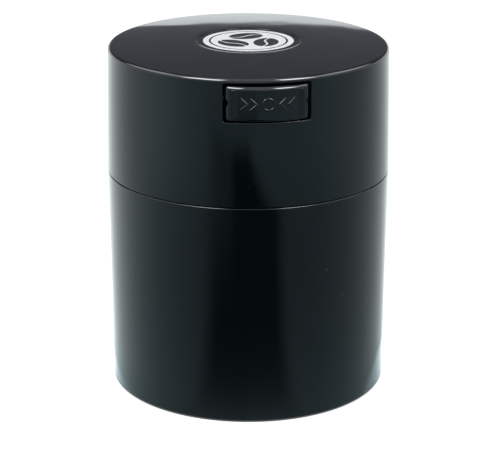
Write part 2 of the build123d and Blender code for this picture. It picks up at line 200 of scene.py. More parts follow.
# The floor is a wide pale sheet that renders white and keeps a soft contact shadow.
floor_reach = 6.0
floor_glow = 0.75
floor_tone = (0.80, 0.80, 0.80, 1)
floor_values = {
    "Base Color": floor_tone,
    "Roughness": 1.0,
    "Specular IOR Level": 0.0,
    "Emission Color": white,
    "Emission Strength": floor_glow,
}
floor_x, floor_y = np.meshgrid(*[np.array([-floor_reach, 0, floor_reach])] * 2)
floor_grid = (np.stack([floor_x, floor_y, 0 * floor_x], -1), False, False)
floor = surface("floor", [floor_grid], new_material("pale_floor", floor_values)[0])

# Painted reflections: a grey card glows on the floor round the canister, and a dim dome glows round
# the studio over a bright band. Only the canister's gloss sees them, and they light nothing.
card_start = 0.0712
card_end = 1.3
card_lift = 0.0004
card_full_turn = radians(145)
card_back_tone = 1.6
card_turn_unit = radians(128)
card_tint_ahead = (0.77, 1.03, 1.13, 1)
card_tint_beside = (0.93, 1.03, 1.01, 1)
tint_turns = (radians(45), radians(135))
base_tones = (0.21, 0.24)
tone_rises = (1.12, 0.75)
rise_powers = (2, 3)
near_gain = 0.8
near_length = 0.06
far_gain_ahead = 0.45
far_gain_beside = -0.15
far_reaches = (0.3, 0.65)
sideways_turns = (radians(55), radians(115))
beside_start = radians(57)
beside_full = radians(42)
beside_end = radians(130)
beside_turn_softness = radians(6)
beside_softness = 0.0025
beside_growths = (0.0145, 0.0286)
beside_gains = (0.45, 0.68)
# The painted dark reflection: a wedge of the card in front of the canister, lighter in a haze.
wedge_left = radians(27)
wedge_left_softness = radians(8)
wedge_right = radians(23.5)
wedge_right_softness = radians(6)
wedge_start_length = 0.04
wedge_end_reach = 0.62
wedge_end_slope = 1.3
wedge_end_softness = 0.07
dark_tone = 0.006
haze_tone = 0.15
haze_turns = (radians(7), radians(16))
haze_reaches = (0.15, 0.5)
# The dome of painted reflections round the studio, with its painted softbox highlights.
canopy_radius = 3.0
canopy_foot = radians(12.35)
canopy_edge = 1e-3
canopy_tone = (0.172, 0.177, 0.207, 1)
band_dip = radians(0.4)
band_dip_turn = radians(2.3)
band_dip_width = radians(1.9)
band_foot = radians(0.5)
band_tone = (1.42, 1.5, 1.52, 1)
# Tones of the painted highlights: the softbox faces, the fill beside them, the middle and overhead.
painted_softbox_highlight = 20.0
fill_tone = 4.0
middle_tone = 1.8
overhead_tone = 1.4
overhead_lift = radians(66)
overhead_softness = radians(8)
softbox_lifts = (radians(26), radians(58))
softbox_edge = radians(4)
fill_end = radians(125)
left_softbox_turns = (radians(23), radians(57))
right_softbox_turns = (radians(28.5), radians(57))


def smooth_step(low, high, value):
    """0 below low, 1 above high, and 3 t^2 - 2 t^3 between, where t is the share of the way."""
    share = np.clip((value - low) / (high - low), 0, 1)
    return share * share * (3 - 2 * share)


def soft_step(edge, softness, value):
    """A smooth step that is softness wide on each side of an edge."""
    return smooth_step(edge - softness, edge + softness, value)


def soft_band(start, end, softness, value):
    """1 between two soft edges, and 0 outside them."""
    return soft_step(start, softness, value) * (1 - soft_step(end, softness, value))


def around(radius, turn, height):
    """The points (radius cos turn, radius sin turn, height)."""
    return np.stack(np.broadcast_arrays(radius * np.cos(turn), radius * np.sin(turn), height), -1)


def camera_ways(x, y):
    """How far points lie towards the camera and to its right, and their turn from it."""
    ahead = -y * cos(camera_turn) + x * sin(camera_turn)
    across = x * cos(camera_turn) + y * sin(camera_turn)
    return ahead, across, np.arctan2(across, ahead)


def reflection_card(name, points, tone_at):
    """A card that only mirror rays see, a painted reflection. It glows with the tone that tone_at gives
    each point.
    """
    material, shader = new_material(name)
    glow = add_node(shader, "Emission")
    reading = add_node(shader, "Attribute")
    reading.attribute_name = "tone"
    output = material.node_tree.nodes["Material Output"]
    join((reading, "Color", glow, "Color"), (glow, 0, output, "Surface"))
    card = surface(name, [(points, False, True)], material)
    places = np.zeros(len(card.data.vertices) * 3, np.float32)
    card.data.vertices.foreach_get("co", places)
    tones = card.data.attributes.new("tone", "FLOAT_COLOR", "POINT")
    tones.data.foreach_set("color", tone_at(*places.reshape(-1, 3).T).astype(np.float32).ravel())
    card.visible_camera = False
    card.visible_diffuse = False
    card.visible_transmission = False
    card.visible_volume_scatter = False
    card.visible_shadow = False


def card_tones(x, y, z):
    """Tone of the painted reflection card: base + rise (turn / unit)^power, with other numbers on its
    left than on its right, more near the canister and, in front, farther out. Beside the foot it is
    brighter inside a spiral, start + growth turn. A painted dark reflection, a wedge in front of the
    canister, ends at a slanted line. The tint is coolest in front."""
    ahead, across, turn = camera_ways(x, y)
    sides = (base_tones, tone_rises, rise_powers, beside_growths, beside_gains)
    base, rise, power, growth, gain = (np.where(turn < 0, *pair) for pair in sides)
    away = np.abs(turn)
    reach = np.hypot(x, y)
    share = np.minimum(away, card_full_turn) / card_turn_unit
    tone = base + rise * share**power
    behind = smooth_step(card_full_turn, pi, away)
    tone = tone * (1 - behind) + card_back_tone * behind
    far_gain = far_gain_ahead + (far_gain_beside - far_gain_ahead) * smooth_step(*sideways_turns, away)
    tone = tone * (1 + near_gain * np.exp(-(reach - card_start) / near_length))
    tone = tone * (1 + far_gain * smooth_step(*far_reaches, reach))
    spiral = card_start + growth * np.clip(away - beside_start, 0, beside_full)
    beside = 1 - soft_step(spiral, beside_softness, reach)
    beside = beside * soft_band(beside_start, beside_end, beside_turn_softness, away)
    tone = tone * (1 + gain * beside)
    wedge = soft_step(-wedge_left, wedge_left_softness, turn)
    wedge = wedge * (1 - soft_step(wedge_right, wedge_right_softness, turn))
    wedge = wedge * (1 - np.exp(-(reach - card_start) / wedge_start_length))
    before_end = wedge_end_reach - wedge_end_slope * np.clip(across, 0, None) - ahead
    wedge = wedge * soft_step(0, wedge_end_softness, before_end)
    haze = haze_tone * smooth_step(*haze_turns, -turn) * smooth_step(*haze_reaches, reach)
    tone = tone * (1 - wedge) + (dark_tone + haze) * wedge
    side_share = smooth_step(*tint_turns, away)[:, None]
    tint = np.array(card_tint_ahead) * (1 - side_share) + np.array(card_tint_beside) * side_share
    return tone[:, None] * tint


def foot_at(across, ahead):
    """Lift of the canopy's foot: even, apart from a shallow dip exp(-t^2) behind the canister."""
    away_turn = np.arctan2(across, -ahead)
    return canopy_foot - band_dip * np.exp(-(((away_turn - band_dip_turn) / band_dip_width) ** 2))


def canopy_tones(x, y, z):
    """Painted reflection: a dim tone above the dome's foot, a bright band under it and a glow overhead.
    On each side of the camera a softbox's face is painted as a highlight with soft edges, with a
    weaker glow between and beside them."""
    ahead, across, turn = camera_ways(x, y)
    lift = np.arctan2(z, np.hypot(x, y))
    glow = middle_tone
    for away, (start, end) in ((-turn, left_softbox_turns), (turn, right_softbox_turns)):
        inside = soft_step(start, softbox_edge, away)
        face = 1 - soft_step(end, softbox_edge, away)
        beside = 1 - soft_step(fill_end, softbox_edge, away)
        glow = glow * (1 - inside) + inside * (painted_softbox_highlight * face + fill_tone * (1 - face) * beside)
    glow = glow * soft_band(*softbox_lifts, softbox_edge, lift)
    glow = glow + overhead_tone * soft_step(overhead_lift, overhead_softness, lift)
    tone = np.where((lift > foot_at(across, ahead))[:, None], canopy_tone, band_tone)
    return tone + glow[:, None] * np.array([*light_colour, 0])


card_turn = camera_turn - pi / 2 + np.linspace(-pi, pi, 361)[:-1]
card_reach = np.geomspace(card_start, card_end, 110)[:, None]
reflection_card("painted_reflection_card", around(card_reach, card_turn, card_lift), card_tones)
canopy_turn = np.linspace(0, 2 * pi, 480, endpoint=False)[None, :]
foot_lift = foot_at(np.sin(canopy_turn), np.cos(canopy_turn))
canopy_lift = foot_lift + (pi / 2 - foot_lift) * np.linspace(0, 1, 70)[:, None]
canopy_lift = np.vstack([
    0 * foot_lift + band_foot, foot_lift - canopy_edge, foot_lift + canopy_edge, canopy_lift[1:]
])
canopy_heading = canopy_turn + camera_turn - pi / 2
canopy_points = canopy_radius * around(np.cos(canopy_lift), canopy_heading, np.sin(canopy_lift))
reflection_card("painted_reflection_canopy", canopy_points, canopy_tones)

# The canister is one moulding of black plastic: a foot ring, a wall that leans in towards it, a
# shoulder just under the lid's edge, and a neck inside the lid.
canister_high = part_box("canister_body")[1]
lid_low, lid_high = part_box("lid_shell")
shoulder_radius = canister_high.x
mouth_height = canister_high.z
seam_height = lid_low.z
lid_mouth_radius = lid_high.x
foot_radius = shoulder_radius - 0.0011
shoulder_height = seam_height - 0.0004
foot_recess = 0.0012
foot_ring_width = 0.008
canister_floor = 0.0042
lid_draft = 0.0012
rim_height = 0.1756
skirt_wall = 0.0016
neck_clearance = 0.00035
mouth_wall = 0.0015
inside_draft = 0.0008
foot_rounding = 0.002
shoulder_rounding = 0.0003
mouth_rounding = 0.0005
floor_rounding = 0.006


def unit(vectors):
    """Vectors of length 1 that point the same ways."""
    return vectors / np.linalg.norm(vectors, axis=-1, keepdims=True)


def rounded(corners, roundings, arc_steps=8):
    """An outline whose corners are arcs. An arc touches both sides of its corner at rounding /
    tan(half the corner's angle). A guard point just beyond each end keeps the sides shaded flat."""
    corners = np.array(corners, float)
    points = [corners[:1]]
    for before, here, after, rounding in zip(corners, corners[1:], corners[2:], roundings):
        if rounding == 0:
            points.append(here[None])
            continue
        back, on = unit(before - here), unit(after - here)
        half = np.arccos(np.clip(back @ on, -1, 1)) / 2
        touch = rounding / np.tan(half)
        centre = here + unit(back + on) * rounding / np.sin(half)
        first = here + back * touch - centre
        last = here + on * touch - centre
        sweep = pi - 2 * half
        share = np.linspace(0, 1, arc_steps + 1)[:, None]
        arc = centre + (np.sin((1 - share) * sweep) * first + np.sin(share * sweep) * last) / np.sin(sweep)
        guard = touch / 12
        points += [arc[:1] + back * guard, arc, arc[-1:] + on * guard]
    points.append(corners[-1:])
    return np.vstack(points)


def turned(outline, angles):
    """An outline of (radius, height) points turned about the canister's axis to some angles."""
    radius, height = outline.T
    return around(radius, angles[:, None], height)


def lathed(outline, steps=360, middle=(0, 0)):
    """The closed grid of an outline turned all the way round an upright axis."""
    points = turned(outline, np.linspace(0, 2 * pi, steps, endpoint=False))
    return points + np.array([*middle, 0]), True, False


def lid_radius(height):
    """Outside radius of the lid's skirt, which leans in evenly from its edge to its rim."""
    return lid_mouth_radius - lid_draft * (height - seam_height) / (rim_height - seam_height)


def neck_radius(height):
    """Outside radius of the canister's neck, which leans as the skirt does."""
    return lid_radius(height) - skirt_wall - neck_clearance


def on_object(shader, kind, values={}):
    """A node that reads the object's own coordinates."""
    node = add_node(shader, kind, values)
    join((add_node(shader, "TexCoord"), "Object", node, "Vector"))
    return node


def vary_roughness(shader, noise, low, high, start=0, end=1):
    """The roughness goes from low to high as a noise goes from start to end."""
    values = {"From Min": start, "From Max": end, "To Min": low, "To Max": high}
    spread = add_node(shader, "MapRange", values)
    join((noise, 0, spread, "Value"), (spread, 0, shader, "Roughness"))


def vary_colour(shader, source, first, second):
    """The colour goes from the first to the second as a source goes from 0 to 1."""
    tone = add_node(shader, "Mix")
    tone.data_type = "RGBA"
    tone.inputs["A"].default_value = (*first, 1)
    tone.inputs["B"].default_value = (*second, 1)
    join((source, 0, tone, "Factor"), (tone, "Result", shader, "Base Color"))


def add_relief(shader, source, strength, distance):
    """Fine bumps of the skin, as high as a source says."""
    bump = add_node(shader, "Bump", {"Strength": strength, "Distance": distance})
    join((source, 0, bump, "Height"), (bump, 0, shader, "Normal"))


plastic_tone = (0.0007, 0.0020, 0.0025)
dust_tone = (0.16, 0.18, 0.19)
calm_fade = 0.002


def black_plastic(name, roughness, specks, wave_depth=0.0004, calm=None):
    """Glossy black moulded plastic. Its gloss varies a little in soft patches, its skin is
    faintly wavy, and a few specks of dust lie on it: small spheres in some cells of a Voronoi.
    calm is (height, share): below that height the waves have only that share of their depth."""
    material, shader = new_material(name)
    patches = on_object(shader, "TexNoise", {"Scale": 38, "Detail": 4})
    vary_roughness(shader, patches, roughness * 0.85, roughness * 1.15, 0.3, 0.7)
    waves = on_object(shader, "TexNoise", {"Scale": 30, "Detail": 1})
    if calm:
        height, share = calm
        axes = on_object(shader, "SeparateXYZ")
        fade = {"From Min": height - calm_fade, "From Max": height, "To Min": share}
        depth = add_node(shader, "MapRange", fade)
        swell = add_node(shader, "Math", {1: 0.5}, "SUBTRACT")
        calmed = add_node(shader, "Math", operation="MULTIPLY")
        join((axes, "Z", depth, "Value"), (waves, 0, swell, 0))
        join((swell, 0, calmed, 0), (depth, 0, calmed, 1))
        waves = calmed
    add_relief(shader, waves, 0.25, wave_depth)
    cells = on_object(shader, "TexVoronoi", {"Scale": 330})
    rare = add_node(shader, "SeparateColor")
    chosen = add_node(shader, "Math", {1: 1 - specks}, "GREATER_THAN")
    near = add_node(shader, "Math", {1: 0.07}, "LESS_THAN")
    dust = add_node(shader, "Math", operation="MULTIPLY")
    join((cells, "Color", rare, 0), (rare, "Red", chosen, 0), (cells, "Distance", near, 0))
    join((chosen, 0, dust, 0), (near, 0, dust, 1))
    vary_colour(shader, dust, plastic_tone, dust_tone)
    return material


canister_outline = rounded(
    [
        (0, foot_recess),
        (foot_radius - foot_ring_width, foot_recess),
        (foot_radius - foot_ring_width, 0),
        (foot_radius, 0),
        (shoulder_radius, shoulder_height),
        (neck_radius(shoulder_height), shoulder_height),
        (neck_radius(mouth_height), mouth_height),
        (neck_radius(mouth_height) - mouth_wall, mouth_height),
        (neck_radius(mouth_height) - mouth_wall - inside_draft, canister_floor),
        (0, canister_floor),
    ],
    [
        0.0003, 0.0003, foot_rounding, shoulder_rounding,
        0.0003, mouth_rounding, mouth_rounding, floor_rounding,
    ],
)
canister_plastic = black_plastic("canister_plastic", 0.11, 0.02)
canister = surface("canister", [lathed(canister_outline)], canister_plastic)
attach(canister, "canister")
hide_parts("canister_body")

# The lid is a deep cap of the same plastic with a domed top. A window is cut through the front
# of its skirt for the button, and a shallow round recess in its top takes the label.
lid_edge_height = seam_height + 0.0002
window_width = 0.0422
window_height = 0.019
window_top = rim_height - 0.0023
window_middle = window_top - window_height / 2
window_rounding = 0.0013
window_edge = 0.0001
dome_rise = 0.0023
rim_radius = lid_mouth_radius - lid_draft
dome_radius = (rim_radius**2 + dome_rise**2) / (2 * dome_rise)
recess_radius = 0.02575
recess_depth = 0.0007
lip_width = 0.0011
lip_slope = radians(8)
rim_rounding = 0.0017
lid_top_wall = 0.002
inner_dome = dome_radius - lid_top_wall
lid_bore_top = rim_radius - skirt_wall + 0.00005
patch_half_turn = 21
patch_foot = 0.1502
patch_head = 0.17372
inner_patch_head = 0.17345
patch_rows = 12
dome_margin = 0.0028
under_margin = 0.0006


def dome_height(radius):
    """Height of the lid's top at a distance from the axis: a sphere's cap over the rim."""
    return rim_height + dome_rise - dome_radius + np.sqrt(dome_radius**2 - radius**2)


def under_dome(radius):
    """Height of the underside of the lid's top, a sphere's cap of the same centre."""
    return rim_height + dome_rise - dome_radius + np.sqrt(inner_dome**2 - radius**2)


def rounded_rectangle(half_width, half_height, rounding, across_steps, up_steps, corner_steps):
    """A ring of points round a rectangle, and its outward directions. It starts at the foot of
    the left side and goes right along the foot. A corner's arc is half on each of its sides."""
    across = half_width - rounding
    up = half_height - rounding
    arc = np.linspace(0, pi / 4, corner_steps + 1)[:-1]
    ring = []
    facing = []
    sides = [(across_steps, across, up), (up_steps, up, across)] * 2
    for quarter, (steps, along, out) in enumerate(sides, -1):
        heading = quarter * pi / 2
        run = np.linspace(-along, along, steps - 2 * corner_steps + 1)
        angle = np.concatenate([arc - pi / 4, 0 * run, pi / 4 - arc[::-1][:-1]])
        middle = np.concatenate([0 * arc - along, run, 0 * arc[1:] + along])
        local_out = out + rounding * np.cos(angle)
        local_along = middle + rounding * np.sin(angle)
        outward = np.array([cos(heading), sin(heading)])
        onward = np.array([-sin(heading), cos(heading)])
        ring.append(local_out[:, None] * outward + local_along[:, None] * onward)
        facing.append(np.cos(angle)[:, None] * outward + np.sin(angle)[:, None] * onward)
    return np.vstack(ring), np.vstack(facing)


def on_skirt(across, height, wall):
    """The point of the lid's skirt, wall metres under its outside, at x = across and z = height."""
    radius = lid_radius(height) - wall
    return np.stack([across, -np.sqrt(radius**2 - across**2), height], -1)


# Skirt rows and window rings meet at the same points: the patch's border is one degree apart
# along its foot and head, and a row apart up its sides.
recess_floor = float(dome_height(recess_radius)) - recess_depth
lip_foot = float(dome_height(recess_radius + lip_width)) - lip_width * tan(lip_slope)
dome_reach = np.linspace(recess_radius + lip_width, rim_radius - dome_margin, 14)
dome_points = np.stack([dome_reach, dome_height(dome_reach)], -1)
outer_rows = np.linspace(patch_head, patch_foot, patch_rows + 1)
inner_rows = np.linspace(patch_foot, inner_patch_head, patch_rows + 1)
under_reach = np.linspace(lid_bore_top - under_margin, 0, 12)
upper_outline = rounded(
    [
        (0, recess_floor),
        (recess_radius, recess_floor),
        (recess_radius, lip_foot),
        *dome_points,
        (rim_radius, rim_height),
        (lid_radius(patch_head), patch_head),
    ],
    [0.0001, 0.0002, *[0] * len(dome_points), rim_rounding],
)
skirt_outline = np.stack([lid_radius(outer_rows), outer_rows], -1)
edge_outline = rounded(
    [
        (lid_radius(patch_foot), patch_foot),
        (lid_mouth_radius, lid_edge_height),
        (lid_mouth_radius - skirt_wall, lid_edge_height),
        (lid_radius(patch_foot) - skirt_wall, patch_foot),
    ],
    [0.0004, 0.0003],
)
bore_outline = np.stack([lid_radius(inner_rows) - skirt_wall, inner_rows], -1)
under_outline = rounded(
    [
        (lid_radius(inner_patch_head) - skirt_wall, inner_patch_head),
        (lid_bore_top, float(under_dome(lid_bore_top))),
        *np.stack([under_reach, under_dome(under_reach)], -1),
    ],
    [0.0002, *[0] * (len(under_reach) - 1)],
)
whole_outline = [upper_outline, skirt_outline[1:], edge_outline[1:], bore_outline[1:], under_outline[1:]]
left_column = 270 - patch_half_turn
right_column = 270 + patch_half_turn
beside_patch = np.radians(np.arange(right_column, left_column + 360 + 1))
over_patch = np.radians(np.arange(left_column, right_column + 1))
lid_grids = [(turned(np.vstack(whole_outline), beside_patch), False, False)]
for outline in (upper_outline, edge_outline, under_outline):
    lid_grids.append((turned(outline, over_patch), False, False))
columns = np.radians(np.arange(-patch_half_turn, patch_half_turn + 1))


def patch_border(foot, head):
    """Turn and height of the border's points, in the order of a rounded rectangle's ring."""
    rows = np.linspace(foot, head, patch_rows + 1)
    feet, heads = 0 * rows[:-1], 0 * rows[1:]
    turn = np.concatenate([columns[:-1], feet + columns[-1], columns[:0:-1], heads + columns[0]])
    height = np.concatenate([0 * columns[:-1] + foot, rows[:-1], 0 * columns[1:] + head, rows[:0:-1]])
    return turn, height


window_ring, window_facing = rounded_rectangle(
    window_width / 2, window_height / 2, window_rounding, 2 * patch_half_turn, patch_rows, 4
)
window_ring = window_ring + np.array([0, window_middle])


def skirt_rings(foot, head, wall, inner_gap, shares):
    """Rings of the skirt from the patch's border (share 0) to the window's outline (share 1),
    which is inner_gap away from the window's wall."""
    border_turn, border_height = patch_border(foot, head)
    edge = window_ring + window_facing * inner_gap
    edge_turn = np.arcsin(edge[:, 0] / (lid_radius(edge[:, 1]) - wall))
    rings = []
    for share in shares:
        height = border_height * (1 - share) + edge[:, 1] * share
        turn = border_turn * (1 - share) + edge_turn * share
        rings.append(on_skirt((lid_radius(height) - wall) * np.sin(turn), height, wall))
    return rings


window_rings = skirt_rings(patch_foot, patch_head, 0, window_edge, np.linspace(0, 1, 7) ** 0.8)
for angle in np.linspace(0, pi / 2, 6)[1:]:
    ring = window_ring + window_facing * window_edge * (1 - sin(angle))
    below = np.array([0, window_edge * (1 - cos(angle)), 0])
    window_rings.append(on_skirt(ring[:, 0], ring[:, 1], 0) + below)
inner_edge = on_skirt(window_ring[:, 0], window_ring[:, 1], skirt_wall)
window_rings += [window_rings[-1] * (1 - share) + inner_edge * share for share in (0.33, 0.67)]
window_rings += skirt_rings(patch_foot, inner_patch_head, skirt_wall, 0, np.linspace(1, 0, 4))
lid_grids.append((np.array(window_rings), False, True))

# Under the top hangs the ring that the inner lid is welded to, open where the button comes in.
inner_low, inner_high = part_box("inner_lid")
plug_radius = 0.06647
groove_radius = plug_radius - 0.0022
plug_inside = groove_radius - 0.0018
collar_radius = plug_inside + 0.002
weld_height = inner_high.z
weld_top = float(under_dome(collar_radius)) + 0.0003
bay_half_width = window_width / 2 + 0.0005


def round_the_bay(radius, steps):
    """Angles of a ring of some radius from one side of the button's bay round to the other."""
    edge = np.arcsin(bay_half_width / radius)
    return 1.5 * pi + edge + np.linspace(0, 1, steps)[:, None] * (2 * pi - 2 * edge)


def capped(rings):
    """Rings carried along a path, closed at both ends by their own middles."""
    ends = [np.broadcast_to(ring.mean(0), ring.shape)[None] for ring in (rings[0], rings[-1])]
    return np.concatenate([ends[0], rings, ends[1]]), False, True


weld_corners = [
    (plug_inside, weld_top),
    (plug_inside, weld_height),
    (collar_radius, weld_height),
    (collar_radius, weld_top),
]
weld_radius, weld_level = rounded(weld_corners, [0.0002, 0.0002]).T
lid_grids.append(capped(around(weld_radius, round_the_bay(weld_radius, 180), weld_level)))
lid = surface("lid", lid_grids, black_plastic("lid_plastic", 0.06, 0.016, 0.0009, (rim_height, 0.3)))
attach(lid, "lid")
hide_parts("lid_shell")

# The button is a hollow cap with a bulged face and a half-round guide groove in each end.
# Its face stands back by the height of the raised marks moulded on it.
button_gap = 0.0011
button_half_width = window_width / 2 - button_gap
button_half_height = window_height / 2 - button_gap
button_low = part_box("press_button")[0]
mark_height = 0.0003
face_front = button_low.y + mark_height
face_corner = -sqrt(lid_radius(window_middle) ** 2 - button_half_width**2)
face_sagitta = face_corner - face_front
face_radius = (button_half_width**2 + face_sagitta**2) / (2 * face_sagitta)
face_rounding = 0.0015
foot_face_rounding = 0.0007
corner_rounding = 0.0014
button_depth = 0.0158
button_rear = face_corner + button_depth
button_wall = 0.0018
face_wall = 0.0022
side_guard = 0.003
notch_radius = 0.0019
notch_place = button_half_width + 0.0006


def face_depth(across):
    """Y of the button's face, an upright cylinder's arc that bulges out of the window."""
    return face_front + face_radius - np.sqrt(face_radius**2 - across**2)


def button_ring(inset, depth, notched):
    """One ring round the button: the rounded outline drawn in by inset, depth metres behind the
    face, or at the rear where depth is None. Notched rings are on the outside: they stay clear of
    the guide grooves, and along the foot their inset and depth shrink to those of its rounding."""
    ring, facing = rounded_rectangle(
        button_half_width - inset, button_half_height - inset, max(corner_rounding - inset, 0), 80, 60, 6
    )
    across, up = ring.T
    below = np.clip(-facing[:, 1], 0, 1) ** 2 * (1 - foot_face_rounding / face_rounding)
    back = face_depth(across) + depth if depth is not None else 0 * across + button_rear
    if notched:
        foot_share = (button_half_height - inset) / (button_half_height - face_rounding)
        up = up - below * min(inset, face_rounding * foot_share)
        back = back - below * min(depth or 0, face_rounding)
        inside = np.sqrt(np.clip(notch_radius**2 - up**2, 0, None))
        limit = np.where(np.abs(up) < notch_radius, notch_place - inside, button_half_width)
        across = np.clip(across, -limit, limit)
    return np.stack([across, back, up + window_middle], -1)


button_rings = []
for inset in np.linspace(button_half_height, face_rounding, 14):
    button_rings.append(button_ring(inset, 0, True))
for angle in np.linspace(0, pi / 2, 9)[1:]:
    inset, depth = face_rounding * (1 - sin(angle)), face_rounding * (1 - cos(angle))
    button_rings.append(button_ring(inset, depth, True))
for inset, depth, notched in ((0, side_guard, True), (0, None, True), (button_wall, None, False)):
    button_rings.append(button_ring(inset, depth, notched))
for inset in np.linspace(button_wall, button_half_height, 5):
    button_rings.append(button_ring(inset, face_wall, False))
button_grids = [(np.array(button_rings), False, True)]

# Inside it has two arms with slanted slots for the valve's pin, a pad and a spigot for each
# spring, and two snap hooks below that catch behind the window's edge.
valve_low, valve_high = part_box("valve_rod")
pin_low, pin_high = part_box("lift_pin")
valve_y = (valve_low.y + valve_high.y) / 2
pin_radius = (pin_high.z - pin_low.z) / 2
pin_height = (pin_high.z + pin_low.z) / 2
button_travel = 0.0035
valve_lift = 0.0025
slot_half_length = sqrt(button_travel**2 + valve_lift**2) / 2 + 0.0002
slot_half_width = pin_radius + 0.00008
hook_across = (0.0114, 0.0154)
hook_drop = 0.0018
hook_thickness = 0.001
hook_ramp = 0.002
hook_root = 0.0009
hook_clearance = 0.0003
arm_across = (0.0055, 0.0080)
arm_bottom = button_low.z + hook_drop + 0.0009
arm_top = pin_height + valve_lift + pin_radius + 0.0024
arm_front = face_front + 0.0011
arm_rear = valve_y + pin_radius + 0.0039
pad_half_width = 0.0038
pad_rear = face_front + 0.0065
spring_across = 0.0134
spigot_radius = 0.002
spigot_length = 0.003
tiny = 1e-9
# For a bar along each axis: which of (across, up, along) are its x, y and z.
order = {"x": [2, 0, 1], "y": [0, 2, 1], "z": [0, 1, 2]}


def bar_section(low, high, rounding=0.0003):
    """A rectangle between two corners, with small arcs at its corners."""
    (left, foot), (right, head) = low, high
    middle = (left + right) / 2
    corners = [(middle, foot), (right, foot), (right, head), (left, head), (left, foot), (middle, foot)]
    return rounded(corners, [rounding] * 4, 4)[:-1]


def circle(middle, radius, steps=48):
    """Points round a circle about its middle."""
    turn = np.linspace(0, 2 * pi, steps, endpoint=False)
    return np.array(middle) + radius * np.stack([np.cos(turn), np.sin(turn)], -1)


def at_level(section, level):
    """A flat section's points with a level as their third number."""
    return np.column_stack([section, 0 * section[:, 0] + level])


def slab(section, low, high, axis, bevel=0.0002):
    """A bar: a convex section carried along an axis from low to high, with bevelled end faces."""
    middle = section.mean(0)
    size = np.linalg.norm(section - middle, axis=1).max()
    inner = middle + (section - middle) * (1 - bevel / size)
    rings = ((inner, low), (section, low + bevel), (section, high - bevel), (inner, high))
    return capped(np.array([at_level(ring, level)[:, order[axis]] for ring, level in rings]))


def slotted_arm(left, right):
    """An upright plate with a slanted slot. On each ray from the slot's middle the slot's edge is
    half a width from its middle line, and the outer edge is where the ray leaves the plate."""
    middle = np.array([valve_y - button_travel / 2, pin_height + valve_lift / 2])
    slant = -np.arctan2(valve_lift, button_travel)
    bounds = np.array([[arm_front, arm_bottom], [arm_rear, arm_top]]) - middle
    corners = np.arctan2(bounds[[0, 0, 1, 1], 1], bounds[[0, 1, 0, 1], 0])
    turn = np.sort(np.concatenate([np.linspace(-pi, pi, 120, endpoint=False), corners]))
    ray = np.stack([np.cos(turn), np.sin(turn)], -1)
    reach = np.where(ray > 0, bounds[1], bounds[0]) / np.where(np.abs(ray) < tiny, tiny, ray)
    outer = middle + ray * np.abs(reach).min(1)[:, None]
    along, beside = np.abs(np.cos(turn - slant)), np.abs(np.sin(turn - slant))
    side_reach = slot_half_width / np.maximum(beside, tiny)
    half_chord = np.sqrt(np.clip(slot_half_width**2 - (slot_half_length * beside) ** 2, 0, None))
    end_reach = slot_half_length * along + half_chord
    slot = middle + ray * np.where(side_reach * along < slot_half_length, side_reach, end_reach)[:, None]
    rings = ((outer, left), (slot, left), (slot, right), (outer, right))
    return np.array([at_level(edge, place)[:, order["x"]] for edge, place in rings]), True, True


sill_bore = lid_radius(window_top - window_height) - skirt_wall
hook_front = hook_clearance - sqrt(sill_bore**2 - hook_across[1] ** 2)
button_foot = window_middle - button_half_height
hook_section = np.array([
    (hook_front, button_foot + hook_root),
    (hook_front, button_foot - hook_drop),
    (hook_front + hook_thickness, button_foot - hook_drop),
    (hook_front + hook_thickness + hook_ramp, button_foot),
    (hook_front + hook_thickness + hook_ramp, button_foot + hook_root),
])
inner_half_height = button_half_height - button_wall + 0.0002
for side in (-1, 1):
    left, right = sorted(side * np.array(arm_across))
    button_grids.append(slotted_arm(left, right))
    left, right = sorted(side * np.array(hook_across))
    button_grids.append(slab(hook_section, left, right, "x"))
    middle = side * spring_across
    pad_face = bar_section(
        (middle - pad_half_width, window_middle - inner_half_height),
        (middle + pad_half_width, window_middle + inner_half_height),
    )
    button_grids.append(slab(pad_face, face_front + face_wall + 0.0004, pad_rear, "y"))
    spigot = circle((middle, window_middle), spigot_radius)
    button_grids.append(slab(spigot, pad_rear - 0.0005, pad_rear + spigot_length, "y"))
button = surface("button", button_grids, black_plastic("button_plastic", 0.09, 0.0), radians(35))
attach(button, "button")
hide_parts("press_button")

# Raised marks moulded on the button's face point to its middle: a ring between two arrowheads on
# each side.
mark_width = 0.00085
mark_sunk = 0.0002
mark_ring_radius = 0.0028
arrow_half_height = 0.0028
arrow_half_width = 0.0016
arrow_places = (0.0070, 0.0115)


def raised_line(path, close):
    """A rounded bead carried along a path of (across, up) points on the button's face. Its section
    at share a of the half width stands mark_height sqrt(1 - a^4) proud, and its foot is sunk in."""
    on = unit(np.roll(path, -1, 0) - path)
    back = np.roll(on, 1, 0)
    if not close:
        on[-1] = on[-2]
        back[0] = on[0]
    heading = unit(back + on)
    mitre = 1 / np.sum(heading * on, axis=1)
    out = np.stack([-heading[:, 1], heading[:, 0]], -1) * mitre[:, None]
    share = np.cos(np.linspace(pi, 0, 9))
    proud = np.concatenate([[-mark_sunk], mark_height * np.sqrt(1 - share**4), [-mark_sunk]])
    share = np.concatenate([[-1], share, [1]])
    place = path[:, None] + out[:, None] * share[None, :, None] * mark_width / 2
    proud = proud[None, :] + 0 * place[:, :, 0]
    if not close:
        place = np.concatenate([place[:1] * 0 + path[0], place, place[:1] * 0 + path[-1]])
        proud = np.vstack([proud[:1] * 0 - mark_sunk, proud, proud[:1] * 0 - mark_sunk])
    across, up = place[:, :, 0], place[:, :, 1]
    return np.stack([across, face_depth(across) - proud, up + window_middle], -1), close, True


